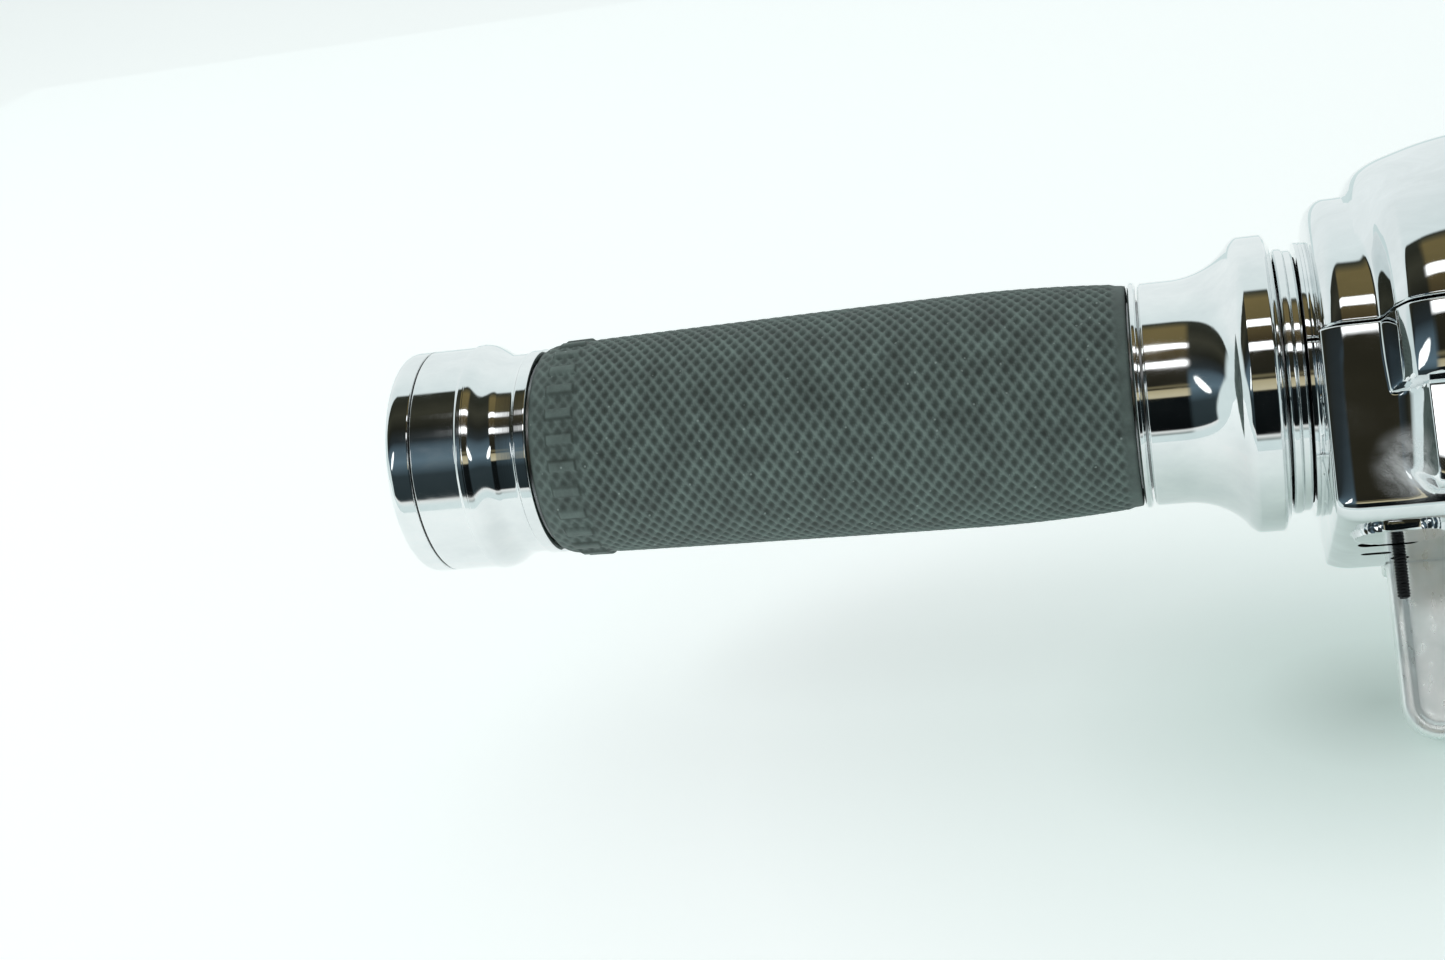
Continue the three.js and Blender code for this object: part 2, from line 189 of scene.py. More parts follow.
# Moulded natural rubber, aged: the colour follows the relief, with painted shade in the pits and a painted
# highlight on the ridges, plus small pale specks of dust and a few dark scuffs.
def makeGripRubber():
    material, tree, shader = newMaterial("agedMouldedRubber", Metallic=0.0, IOR=1.5)
    ridge = addNode(tree, "ShaderNodeAttribute", attribute_name="ridge").outputs["Fac"]
    mottle = addNode(tree, "ShaderNodeTexNoise", {"Vector": scaled(tree, (260, 260, 260)), "Scale": 1.0,
                                                  "Detail": 6.0, "Roughness": 0.7})
    grain = addNode(tree, "ShaderNodeTexNoise", {"Vector": scaled(tree, (2600, 2600, 2600)), "Scale": 1.0,
                                                 "Detail": 3.0, "Roughness": 0.7})
    dust = addNode(tree, "ShaderNodeTexVoronoi", {"Vector": scaled(tree, (420, 420, 420)), "Scale": 1.0})
    scuffs = addNode(tree, "ShaderNodeTexNoise", {"Vector": scaled(tree, (60, 130, 130)), "Scale": 1.0,
                                                  "Detail": 5.0, "Roughness": 0.75})
    # painted shade and highlight: the colour is darker in the pits and lighter on the ridge tops
    base = addNode(tree, "ShaderNodeValToRGB", {"Fac": ridge},
                   stops=[(0.0, linear("#3e4b46")), (0.45, linear("#515f5b")), (1.0, linear("#697a75"))])
    cloud = addNode(tree, "ShaderNodeValToRGB", {"Fac": mottle.outputs["Fac"]},
                    stops=[(0.32, grey(0.62)), (0.72, grey(1.25))])
    mottled = addNode(tree, "ShaderNodeMix", {0: 1.0, 6: base.outputs["Color"], 7: cloud.outputs["Color"]},
                      data_type="RGBA", blend_type="MULTIPLY")
    darkSpot = addNode(tree, "ShaderNodeMapRange", {"Value": scuffs.outputs["Fac"], "From Min": 0.66,
                                                    "From Max": 0.76, "To Min": 0.0, "To Max": 0.55})
    scuffed = addNode(tree, "ShaderNodeMix", {0: darkSpot.outputs["Result"], 6: mottled.outputs[2],
                                              7: linear("#262a28")}, data_type="RGBA")
    paleSpot = addNode(tree, "ShaderNodeMapRange", {"Value": dust.outputs["Distance"], "From Min": 0.05,
                                                    "From Max": 0.09, "To Min": 0.55, "To Max": 0.0})
    dusty = addNode(tree, "ShaderNodeMix", {0: paleSpot.outputs["Result"], 6: scuffed.outputs[2],
                                            7: linear("#9aa8a4")}, data_type="RGBA")
    rough = addNode(tree, "ShaderNodeMapRange", {"Value": mottle.outputs["Fac"], "From Min": 0.3,
                                                 "From Max": 0.7, "To Min": 0.5, "To Max": 0.72})
    bump = addNode(tree, "ShaderNodeBump", {"Height": grain.outputs["Fac"], "Strength": 0.5,
                                            "Distance": 0.00006})
    joinShader(tree, shader, dusty.outputs[2], rough, bump)
    return material


# Nitrile seal: plain black, slightly greasy
def makeSealRubber():
    material, tree, shader = newMaterial("nitrileSeal", Metallic=0.0, IOR=1.5)
    film = addNode(tree, "ShaderNodeTexNoise", {"Vector": scaled(tree, (500, 500, 500)), "Scale": 1.0,
                                                "Detail": 3.0})
    tint = addNode(tree, "ShaderNodeValToRGB", {"Fac": film.outputs["Fac"]},
                   stops=[(0.3, linear("#141515")), (0.7, linear("#232525"))])
    rough = addNode(tree, "ShaderNodeMapRange", {"Value": film.outputs["Fac"], "To Min": 0.35,
                                                 "To Max": 0.65})
    joinShader(tree, shader, tint.outputs["Color"], rough)
    return material


# A machined metal or plain moulding: turning marks every tenth of a millimetre and a little tone change
def makeMachined(name, dark, light, metallic, roughLow, roughHigh, marks):
    material, tree, shader = newMaterial(name, Metallic=metallic)
    tone = addNode(tree, "ShaderNodeTexNoise", {"Vector": scaled(tree, (180, 180, 180)), "Scale": 1.0,
                                                "Detail": 4.0})
    cuts = addNode(tree, "ShaderNodeTexNoise", {"Vector": scaled(tree, marks), "Scale": 1.0, "Detail": 2.0})
    tint = addNode(tree, "ShaderNodeValToRGB", {"Fac": tone.outputs["Fac"]},
                   stops=[(0.3, linear(dark)), (0.7, linear(light))])
    rough = addNode(tree, "ShaderNodeMapRange", {"Value": cuts.outputs["Fac"], "From Min": 0.3,
                                                 "From Max": 0.7, "To Min": roughLow,
                                                 "To Max": roughHigh})
    bump = addNode(tree, "ShaderNodeBump", {"Height": cuts.outputs["Fac"], "Strength": 0.3,
                                            "Distance": 0.00002})
    joinShader(tree, shader, tint.outputs["Color"], rough, bump)
    return material


turnedChrome = makeTurnedChrome()
castChrome = makeCastChrome()
gripRubber = makeGripRubber()
sealRubber = makeSealRubber()
# Chrome over an unpolished casting: satin, drawn in long soft streaks down the arm
longStreaks = (700, 700, 90)
satinChrome = makeMachined("satinCastChrome", "#e2ecea", "#f8fbfa", 0.6, 0.24, 0.4, longStreaks)
roundMarks = (6000, 200, 200)
evenGrain = (2500, 2500, 2500)
zincSteel = makeMachined("zincPlatedSteel", "#8b8f90", "#b3b7b6", 1.0, 0.2, 0.4, evenGrain)
blackSteel = makeMachined("blackOxideSteel", "#141414", "#26272a", 0.7, 0.3, 0.5, evenGrain)
turnedAlloy = makeMachined("turnedAluminium", "#a9acae", "#c4c7c8", 1.0, 0.22, 0.38, roundMarks)
turnedBrass = makeMachined("turnedBrass", "#a8853f", "#c9a65c", 1.0, 0.22, 0.4, evenGrain)
blackAcetal = makeMachined("mouldedAcetal", "#17181a", "#232427", 0.0, 0.4, 0.55, evenGrain)
print("materials made")


def gridMesh(name, points, material, body, replaces=(), wrapRows=True, capEnds=False,
             attributes=None):
    # points[row, column, xyz] in mm; columns always close on themselves, rows close with wrapRows.
    # Neighbouring points make the quads; the faces are turned round if the volume comes out negative.
    rows, columns = points.shape[:2]
    row = np.arange(rows if wrapRows else rows - 1)[:, None] * np.ones(columns, int)
    column = np.arange(columns) * np.ones_like(row)
    nextRow, nextColumn = (row + 1) % rows, (column + 1) % columns
    quads = np.stack([row * columns + column, row * columns + nextColumn,
                      nextRow * columns + nextColumn, nextRow * columns + column], -1).reshape(-1, 4)
    flat = points.reshape(-1, 3)
    a, b, c, d = (flat[quads[:, k]] for k in range(4))
    volume = np.einsum("ij,ij->", a, np.cross(b, c)) + np.einsum("ij,ij->", a, np.cross(c, d))
    faces = quads.tolist()
    if capEnds:
        faces.append(list(range(columns))[::-1])
        faces.append(list(range((rows - 1) * columns, rows * columns)))
    if volume < 0:
        faces = [face[::-1] for face in faces]
    mesh = bpy.data.meshes.new(name)
    mesh.from_pydata((flat * mm).tolist(), [], faces)
    for key, values in (attributes or {}).items():
        layer = mesh.attributes.new(key, "FLOAT", "POINT")
        layer.data.foreach_set("value", values.ravel().astype(np.float32))
    mesh.polygons.foreach_set("use_smooth", np.ones(len(mesh.polygons), bool))
    mesh.validate()
    piece = bpy.data.objects.new(name, mesh)
    bpy.context.scene.collection.objects.link(piece)
    mesh.materials.append(material)
    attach(piece, body)
    if replaces:
        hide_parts(*replaces)
    return piece


def rounded(corners, steps=5, support=0.05, closed=True):
    # corners are (x, r, fillet). Each corner with a fillet becomes the quadratic curve between its two
    # tangent points, with a support point just before and after it so flat faces stay flat.
    corners = [tuple(c) + (0,) * (3 - len(c)) for c in corners]
    count, result = len(corners), []
    for index, (x, r, fillet) in enumerate(corners):
        here = np.array([x, r], float)
        if fillet <= 0 or (not closed and index in (0, count - 1)):
            result.append(here)
            continue
        before = np.array(corners[index - 1][:2], float) - here
        after = np.array(corners[(index + 1) % count][:2], float) - here
        before /= np.linalg.norm(before)
        after /= np.linalg.norm(after)
        t = np.linspace(0, 1, steps + 1)[:, None]
        start, end = here + before * fillet, here + after * fillet
        curve = (1 - t) ** 2 * start + 2 * t * (1 - t) * here + t ** 2 * end
        result += [start + before * support, *curve, end + after * support]
    return np.array(result)


def spun(outline, columns=160):
    # a section turned about the X axis: (x, r cos v, r sin v)
    v = np.linspace(0, 2 * np.pi, columns, endpoint=False)
    x, r = outline[:, 0][:, None], outline[:, 1][:, None]
    return np.stack([x + 0 * v, r * np.cos(v), r * np.sin(v)], -1)


def toFrame(points):
    # housing frame (x, y', z') to the part's frame: a turn about X
    c, s = math.cos(housingTurn), math.sin(housingTurn)
    turned = points.copy()
    turned[..., 1] = c * points[..., 1] - s * points[..., 2]
    turned[..., 2] = s * points[..., 1] + c * points[..., 2]
    return turned


def upright(outline, x, y, columns=48, corners=None):
    # a section of (z', r) turned about a line along z' through (x, y'), in the housing's frame;
    # rows named in corners take a hexagon's radius: r cos(30 deg) / cos(angle within one flat)
    v = np.linspace(0, 2 * np.pi, columns, endpoint=False)
    z, r = outline[:, 0][:, None], outline[:, 1][:, None]
    if corners is not None:
        within = (v % (np.pi / 3)) - np.pi / 6
        hexagon = math.cos(np.pi / 6) / np.cos(within)
        r = np.where(corners[:, None], r * hexagon, r)
    return toFrame(np.stack([x + r * np.cos(v), y + r * np.sin(v), z + 0 * v], -1))


# radii and places along the bar of the turned chrome
grip = dict(capOuter=-137.9, capInner=-133.56, collarOuter=-133.36, lip=-115.15, rubberOuter=-114.85,
            rubberInner=-24.2, trimInner=-22.75, bellOuter=-22.45, bellInner=-3.35, stepInner=-0.25,
            seat=14.25, tube=13.95, bore=12.95, land=17.75)
capScrew = dict(head=4.0, shank=2.3, hole=2.6, well=4.3)


def makeEndCap():
    g, s = grip, capScrew
    seat = g["capOuter"] + 3.1
    outline = rounded([(g["capInner"], s["hole"], 0.1), (seat, s["hole"], 0.1), (seat, s["well"], 0.1),
                       (g["capOuter"], s["well"], 0.25), (g["capOuter"], 9, 0),
                       (g["capOuter"] + 0.05, 14.2, 0), (g["capOuter"] + 0.12, g["land"], 1.9),
                       (g["capInner"] - 0.14, g["land"], 0.1), (g["capInner"], g["land"] - 0.14, 0.05)],
                      steps=10)
    gridMesh("end_cap_chrome", spun(outline), turnedChrome, "grip", ["end_cap"])
    ring = rounded([(g["capInner"] + 0.03, g["seat"], 0.02),
                    (g["capInner"] + 0.03, g["land"] - 0.3, 0.02), (g["collarOuter"] - 0.03,
                                                                    g["land"] - 0.3, 0.02),
                    (g["collarOuter"] - 0.03, g["seat"], 0.02)])
    gridMesh("end_cap_gasket_ring", spun(ring), sealRubber, "grip", ["end_cap_gasket"])


def screwOutline(face, seat, tip, head, shank, socket, depth):
    # section from the socket's floor out over the head and down the shank; the socket rows are hexagonal
    outward = 1 if seat > face else -1
    points = [(face + outward * depth, 0.05), (face + outward * depth, socket),
              (face + outward * 0.15, socket), (face, socket + 0.15), (face, head - 0.35),
              (face + outward * 0.12, head - 0.12), (face + outward * 0.4, head),
              (seat - outward * 0.1, head), (seat, head - 0.1), (seat, shank + 0.05),
              (seat + outward * 0.1, shank), (tip - outward * 0.3, shank), (tip, shank - 0.3),
              (tip, 0.05)]
    hexRows = np.array([False, True, True] + [False] * (len(points) - 3))
    return np.array(points), hexRows


def makeCapScrew():
    g, s = grip, capScrew
    outline, hexRows = screwOutline(g["capOuter"] + 0.5, g["capOuter"] + 2.8, -125.4, s["head"],
                                    s["shank"], 2.1, 1.8)
    v = np.linspace(0, 2 * np.pi, 72, endpoint=False)
    hexagon = math.cos(np.pi / 6) / np.cos((v % (np.pi / 3)) - np.pi / 6)
    r = np.where(hexRows[:, None], outline[:, 1:] * hexagon, outline[:, 1:])
    points = np.stack([outline[:, :1] + 0 * v, r * np.cos(v), r * np.sin(v)], -1)
    gridMesh("end_cap_socket_screw", points, zincSteel, "grip", ["end_cap_screw"], wrapRows=False,
             capEnds=True)


def makeOuterCollar():
    # land, a raised step edge, then a half cosine down to the neck: r = neck + drop (1 + cos(pi s)) / 2
    g = grip
    s = np.linspace(0, 1, 26)[1:]
    coveX = -124.75 + 4.75 * s
    coveR = 15.92 + 2.02 * (1 + np.cos(np.pi * s)) / 2
    before = rounded([(g["collarOuter"], g["seat"], 0.05), (g["collarOuter"], g["land"] - 0.14, 0.05),
                      (g["collarOuter"] + 0.14, g["land"], 0.1), (-126.05, g["land"], 0.12),
                      (-125.7, 18.02, 0.12), (-124.9, 18.02, 0.1), (-124.75, 17.94, 0)], closed=False)
    after = rounded([(coveX[-1], coveR[-1], 0), (-117.35, 15.9, 0.3), (-117.0, 16.27, 0.14),
                     (g["lip"] - 0.05, 16.27, 0.16), (g["lip"], 15.75, 0.05), (g["lip"], g["seat"], 0.05)],
                    closed=False)
    outline = np.vstack([before, np.stack([coveX, coveR], 1)[:-1], after])
    gridMesh("outer_collar_chrome", spun(outline, 192), turnedChrome, "grip", ["outer_collar"])


def makeTrimRing():
    g = grip
    outline = rounded([(g["rubberInner"] + 0.3, g["seat"], 0.05), (g["rubberInner"] + 0.3, 16.45, 0.08),
                       (g["rubberInner"] + 0.6, 16.92, 0.1), (g["trimInner"] - 0.35, 16.86, 0.1),
                       (g["trimInner"], 16.4, 0.06), (g["trimInner"], g["seat"], 0.05)])
    gridMesh("trim_ring_chrome", spun(outline, 192), turnedChrome, "grip", ["trim_ring"])


def makeInnerBell():
    # neck, then a quarter ellipse: r = neck + rise (1 - sqrt(1 - s^2)), a narrow bevel and the wide land
    g = grip
    neck, rise, start, width = 16.65, 8.6, -18.0, 10.2
    s = np.linspace(0, 0.872, 34)
    coveX, coveR = start + width * s, neck + rise * (1 - np.sqrt(1 - s ** 2))
    before = rounded([(g["bellOuter"], g["seat"], 0.05), (g["bellOuter"], neck - 0.35, 0.05),
                      (g["bellOuter"] + 0.35, neck, 0.12), (-18.4, neck, 0)], closed=False)
    after = rounded([(-8.25, 21.72, 0.12), (-7.8, 21.9, 0.14), (-4.45, 21.9, 0.12), (-4.05, 21.55, 0.14),
                     (-3.55, 20.3, 0.12), (g["bellInner"], 20.1, 0.05), (g["bellInner"], 18.2, 0.1),
                     (-9.5, 18.2, 0.3), (-13, g["seat"], 0.1)], closed=False)
    outline = np.vstack([before, np.stack([coveX, coveR], 1), after])
    gridMesh("inner_bell_chrome", spun(outline, 224), turnedChrome, "grip", ["inner_bell"])


def makeStepRing():
    g = grip
    outline = rounded([(g["bellInner"] + 0.3, g["seat"], 0.05), (g["bellInner"] + 0.3, 19.0, 0.15),
                       (-2.75, 19.55, 0.35), (-1.7, 19.55, 0.3), (-1.45, 19.2, 0.1), (-0.6, 19.2, 0.08),
                       (g["stepInner"], 18.9, 0.12), (g["stepInner"], g["seat"], 0.05)])
    gridMesh("step_ring_chrome", spun(outline, 192), turnedChrome, "grip", ["step_ring"])


def makeTube():
    g = grip
    tube = rounded([(-132.9, g["bore"], 0.15), (-132.9, g["tube"], 0.15), (24, g["tube"], 0.2),
                    (24, g["bore"], 0.2)])
    gridMesh("throttle_tube_turned", spun(tube), turnedAlloy, "grip", ["throttle_tube"])
    plug = rounded([(-132.9, capScrew["hole"], 0.1), (-132.9, g["bore"] - 0.25, 0.1),
                    (-124, g["bore"] - 0.25, 0.6), (-124, capScrew["hole"], 0.3)])
    gridMesh("end_plug_turned", spun(plug), turnedAlloy, "grip", ["end_plug"])


makeEndCap()
makeCapScrew()
makeOuterCollar()
makeTrimRing()
makeInnerBell()
makeStepRing()
makeTube()
print("turned pieces made")

rubber = dict(top=17.82, widest=-47.0, leftDrop=0.95, rightDrop=1.1, pitch=1.89, starts=40, depth=0.42,
              ridgeWidth=0.19, perPitch=7, knurlFrom=-114.0, knurlTo=-26.0, fade=0.6, band=-106.0)
bars = dict(count=26, low=-111.9, high=-107.0, share=0.42, height=0.42)


def nearest(t):
    # distance to the nearest whole number
    return np.abs(t - np.round(t))


def softStep(low, high, t):
    s = np.clip((t - low) / (high - low), 0, 1)
    return s * s * (3 - 2 * s)


def makeRubberSleeve():
    # Barrel: r = top - drop |(x - widest) / half|^p. Two families of helical ridges cross on it: with
    # u = x / pitch and w = starts v / 2 pi, ridges run where u + w and u - w are whole numbers, each a
    # bell curve of the distance to it, and the pits between them are sunk by depth.
    g, k = grip, rubber
    step = k["pitch"] / k["perPitch"]
    x = np.arange(g["rubberOuter"] + 0.55, g["rubberInner"] - 0.3, step)
    v = np.linspace(0, 2 * np.pi, k["starts"] * k["perPitch"], endpoint=False)
    xs, vs = np.meshgrid(x, v, indexing="ij")
    left = np.clip((k["widest"] - xs) / 63, 0, None)
    right = np.clip((xs - k["widest"]) / 23, 0, None)
    barrel = k["top"] - k["leftDrop"] * left ** 1.2 - k["rightDrop"] * right ** 2
    shoulder = np.clip((g["rubberOuter"] + 3.6 - xs) / 3.6, 0, 1)
    barrel = barrel - 1.15 * (1 - np.sqrt(1 - np.clip(shoulder, 0, 0.995) ** 2))
    u, w = xs / k["pitch"], k["starts"] * vs / (2 * np.pi)
    ridges = [np.exp(-(nearest(t) / k["ridgeWidth"]) ** 2) for t in (u + w, u - w)]
    crossed = 1 - (1 - ridges[0]) * (1 - ridges[1])
    inside = softStep(k["knurlFrom"] - k["fade"], k["knurlFrom"] + k["fade"], xs)
    inside = inside * (1 - softStep(k["knurlTo"] - k["fade"], k["knurlTo"] + k["fade"], xs))
    inside = inside * (0.6 + 0.4 * softStep(k["band"] - 1.0, k["band"] + 1.0, xs))
    height = inside * crossed + (1 - inside) * 0.5
    # a plain row of raised bars round the smooth end band
    across = nearest(bars["count"] * vs / (2 * np.pi)) * 2
    bar = 1 - softStep(bars["share"] - 0.08, bars["share"] + 0.08, across)
    bar = bar * softStep(bars["low"], bars["low"] + 0.5, xs)
    bar = bar * (1 - softStep(bars["high"] - 0.5, bars["high"], xs))
    height = height + (0.75 - height) * bar
    radii = barrel - k["depth"] * (1 - height) + bars["height"] * bar
    # painted shade along the foot of each bar: the colour there is darkened
    height = np.clip(height - 3.4 * bar * (1 - bar), 0, 1)
    surface = np.stack([xs, radii * np.cos(vs), radii * np.sin(vs)], -1)
    rim = [(g["rubberOuter"], 15.1), (g["rubberOuter"] + 0.12, 15.55), (g["rubberOuter"] + 0.35, 15.95)]
    end = [(g["rubberInner"] - 0.08, radii[-1].mean() - 0.1), (g["rubberInner"], radii[-1].mean() - 0.35)]
    inner = [(g["rubberInner"], g["seat"]), (g["rubberOuter"], g["seat"])]
    first, last = (spun(np.array(part), len(v)) for part in (rim, end + inner))
    points = np.concatenate([first, surface, last])
    ridge = np.concatenate([np.full((len(rim), len(v)), 0.3), height,
                            np.full((len(end + inner), len(v)), 0.3)])
    gridMesh("rubber_sleeve_knurled", points, gripRubber, "grip", ["rubber_sleeve"],
             attributes={"ridge": ridge})


makeRubberSleeve()
print("rubber sleeve made")

# section sizes in the housing's own frame, whose split plane is level
house = dict(gap=0.15, edge=0.35, mouthBore=18.1, chamber=21.5, clampBore=12.85,
             chamberFrom=3.4, chamberTo=27.0, side=26.0, bottom=26.6, chamfer=34.74, ledge=10.0,
             cheekSide=29.0, cheekBottom=24.0, cheekFrom=14.3, ramp=6.0, draft=0.07)
# (x, R) of the dome seen from the front and along its top
domeFront = [(0, 15), (9.0, 25.6), (9.6, 26.8), (10.4, 29.4), (11.2, 31.3), (12.8, 33.3), (16.8, 34.3),
             (30, 35), (42, 34.4), (45.5, 33.2), (47.3, 31.2), (48, 28.5)]
domeTop = [(0, 15), (7.2, 25.4), (7.6, 26.4), (8.3, 27.8), (9.7, 29.3), (11.9, 30.5), (14, 31.2),
           (18.8, 32.5), (22.3, 33.1), (30, 33.8), (42, 33), (46, 30.5), (48, 27)]
pad = dict(x0=3.6, x1=16.4, y=-14.4, radius=4.6, height=0.9)


def through(points, t):
    # a smooth curve through a few points that never overshoots: cubic Hermite pieces whose slopes are the
    # harmonic mean of the slopes on each side
    px, py = np.array(points, float).T
    d = np.diff(py) / np.diff(px)
    product = d[1:] * d[:-1]
    middle = np.where(product > 0, 2 * product / (d[1:] + d[:-1] + 1e-12), 0)
    slope = np.concatenate([d[:1], middle, d[-1:]])
    i = np.clip(np.searchsorted(px, t) - 1, 0, len(px) - 2)
    h = px[i + 1] - px[i]
    s = np.clip((t - px[i]) / h, 0, 1)
    return ((2 * s ** 3 - 3 * s ** 2 + 1) * py[i] + (s ** 3 - 2 * s ** 2 + s) * h * slope[i]
            + (3 * s ** 2 - 2 * s ** 3) * py[i + 1] + (s ** 3 - s ** 2) * h * slope[i + 1])


def larger(a, b, blend):
    return (a + b + np.sqrt((a - b) ** 2 + blend ** 2)) / 2


def smaller(a, b, blend):
    return (a + b - np.sqrt((a - b) ** 2 + blend ** 2)) / 2


def collarRadius(x):
    # a mouth ring with two fine grooves, then a quarter ellipse up to the round collar
    ring = 20.2 - 0.16 * np.exp(-((x - 0.75) / 0.1) ** 2) - 0.16 * np.exp(-((x - 1.25) / 0.1) ** 2)
    ellipse = 21.4 + 4.6 * np.sqrt(np.clip(1 - ((5 - np.clip(x, 1.5, 5)) / 3.5) ** 2, 0, 1))
    return ring + (ellipse - ring) * softStep(1.45, 1.75, x)


def domeRadius(x, phi):
    # the front section turns into the lower top section as the direction rises
    lift = softStep(0.15, 0.8, np.abs(np.sin(phi)) * (phi > 0))
    return (1 - lift) * through(domeFront, x) + lift * through(domeTop, x)


def upperRadius(x, phi):
    return larger(collarRadius(x), domeRadius(x, phi), 0.35)


def lowerRadius(x, phi):
    # Largest of the collar, the pan, the dome cut off by its ledge, and the cheeks. A plane at distance d
    # with its normal at angle n from the direction has radius d / cos n.
    h = house
    front, down = np.abs(np.cos(phi)) + 1e-6, np.abs(np.sin(phi)) + 1e-6
    shrink = 2.4 * (1 - np.sqrt(np.clip(1 - ((5.2 - np.clip(x, 0.9, 5.2)) / 4.3) ** 2, 0, 1)))
    wall, floor = (h["side"] - shrink) / (front + h["draft"] * down), (h["bottom"] - shrink) / down
    corner = (h["chamfer"] - shrink) / (0.664 * front + 0.747 * down)
    pan = smaller(smaller(wall, floor, 0.3), corner, 0.5)
    backCut = 27.96 / np.clip(0.654 * -np.cos(phi) + 0.756 * down, 0.05, None)
    pan = np.where(np.cos(phi) < 0,
                   pan + (smaller(pan, backCut, 0.6) - pan) * (1 - softStep(9.2, 9.8, x)), pan)
    pan = pan - 12 * (1 - softStep(0.9, 1.5, x))
    # the oblong pad: as far below the bottom plane as its height, inside a rounded line
    yBelow = -h["bottom"] * np.cos(phi) / down
    away = np.hypot(x - np.clip(x, pad["x0"] + pad["radius"], pad["x1"] - pad["radius"]), yBelow - pad["y"])
    raised = (1 - softStep(pad["radius"] - 0.25, pad["radius"] + 0.15, away)) * (down > 0.6)
    pan = pan + raised * (smaller((h["bottom"] + pad["height"]) / down, 60 + 0 * x, 0.1) - pan)
    dome = smaller(domeRadius(x, -np.abs(phi)), h["ledge"] / down, 0.5)
    cheek = smaller(h["cheekSide"] / front, h["cheekBottom"] / down, 0.5)
    rise = np.clip((x - h["cheekFrom"] + h["ramp"]) / h["ramp"], 0, 1) ** 2.2
    cheek = np.minimum(pan, cheek) - 0.6 + (cheek - np.minimum(pan, cheek) + 0.6) * rise
    cheek = smaller(cheek, through(domeFront, x) + 2.8, 0.8)
    body = larger(larger(pan, dome, 0.4), cheek, 0.4)
    return larger(collarRadius(x), body, 0.3)


def boreRadius(x):
    h = house
    return np.where(x < h["chamberFrom"], h["mouthBore"], np.where(x < h["chamberTo"], h["chamber"],
                                                                   h["clampBore"]))


def houseShell(name, node, radius, side, around):
    # Half a shell. phi runs from the front (0) over the top or under it to the back (pi). The outside
    # is R(x, phi), kept clear of the split plane by the gap, with a quarter circle of radius edge along it:
    # R - e (1 - sqrt(1 - (1 - d / e)^2)) at a distance d from the split face.
    h = house
    x = np.concatenate([np.linspace(0.1, 1.7, 14), np.linspace(1.85, 5.4, 17), np.linspace(5.8, 8.6, 7),
                        np.linspace(8.8, 13.2, 26), np.linspace(13.5, 15.0, 13),
                        np.linspace(15.6, 26.6, 13), np.linspace(28, 45, 15), np.linspace(45.6, 48, 9)])
    x = np.sort(np.concatenate([x, [h["chamberFrom"] - 0.04, h["chamberFrom"] + 0.04, h["chamberTo"] - 0.04,
                                    h["chamberTo"] + 0.04]]))[:, None]
    firstRadius = radius(x, np.zeros_like(x))
    d = np.array([0, 0.03, 0.09, 0.18, 0.28, 0.37, 0.5])[None, :]
    near = np.arcsin((h["gap"] + d) / firstRadius)
    t = np.linspace(0, 1, around)[None, 1:-1]
    start = near[:, -1:]
    phi = side * np.concatenate([near, start + t * (np.pi - 2 * start), np.pi - near[:, ::-1]], 1)
    outer = radius(x + 0 * phi, phi)
    distance = np.clip(outer * np.abs(np.sin(phi)) - h["gap"], 0, h["edge"])
    outer = outer - h["edge"] * (1 - np.sqrt(np.clip(1 - (1 - distance / h["edge"]) ** 2, 0, 1)))
    height = np.maximum(outer * np.abs(np.sin(phi)), h["gap"])
    outside = np.stack([x + 0 * phi, -outer * np.cos(phi), side * height], -1)
    inner = boreRadius(x + 0 * phi)
    away = np.maximum(inner * np.abs(np.sin(phi)), h["gap"])
    across = -np.sign(np.cos(phi)) * np.sqrt(np.clip(inner ** 2 - away ** 2, 0, None))
    inside = np.stack([x + 0 * phi, across, side * away], -1)
    # the two end faces are one more row each, folded onto the bore
    loops = np.concatenate([outside, inside[:, ::-1]], 1)
    first = np.concatenate([inside[:1], inside[:1, ::-1]], 1)
    last = np.concatenate([inside[-1:], inside[-1:, ::-1]], 1)
    points = toFrame(np.concatenate([first, loops, last]))
    piece = gridMesh(name, points, castChrome, "housing", [node], wrapRows=False)
    tidy(piece)
    return piece


def tidy(piece, angle=35):
    # welds doubled points, drops faces with no area and makes corners above the angle crisp
    work = bmesh.new()
    work.from_mesh(piece.data)
    bmesh.ops.remove_doubles(work, verts=work.verts, dist=1e-7)
    bmesh.ops.dissolve_degenerate(work, edges=work.edges, dist=1e-7)
    bmesh.ops.recalc_face_normals(work, faces=work.faces)
    work.to_mesh(piece.data)
    work.free()
    piece.data.polygons.foreach_set("use_smooth", np.ones(len(piece.data.polygons), bool))
    piece.data.set_sharp_from_angle(angle=math.radians(angle))


def cutter(outline, x, y, columns=40):
    # a closed turned shape about an upright line, given as (z', r) from low to high
    return upright(np.array([(outline[0][0], 0.0), *outline, (outline[-1][0], 0.0)]), x, y, columns)


def barCutter(x0, x1, y, halfWidth, low, high, columns=32):
    # an oblong hole: a circle whose two halves are pulled apart along x
    v = np.linspace(0, 2 * np.pi, columns, endpoint=False)
    across, along = halfWidth * np.sin(v), halfWidth * np.cos(v)
    centre = np.where(np.cos(v) > 0, x1 - halfWidth, x0 + halfWidth)
    rows = [(low, 0), (low, 1), (high, 1), (high, 0)]
    loops = [np.stack([np.where(s > 0, centre + along, (x0 + x1) / 2), y + s * across, z + 0 * v], -1)
             for z, s in rows]
    return toFrame(np.array(loops))


def boxCutter(low, high):
    (x0, y0, z0), (x1, y1, z1) = low, high
    square = np.array([(x0, y0), (x1, y0), (x1, y1), (x0, y1)])
    loops = [np.column_stack([square, np.full(4, z)]) for z in (z0, z1)]
    return toFrame(np.array(loops))


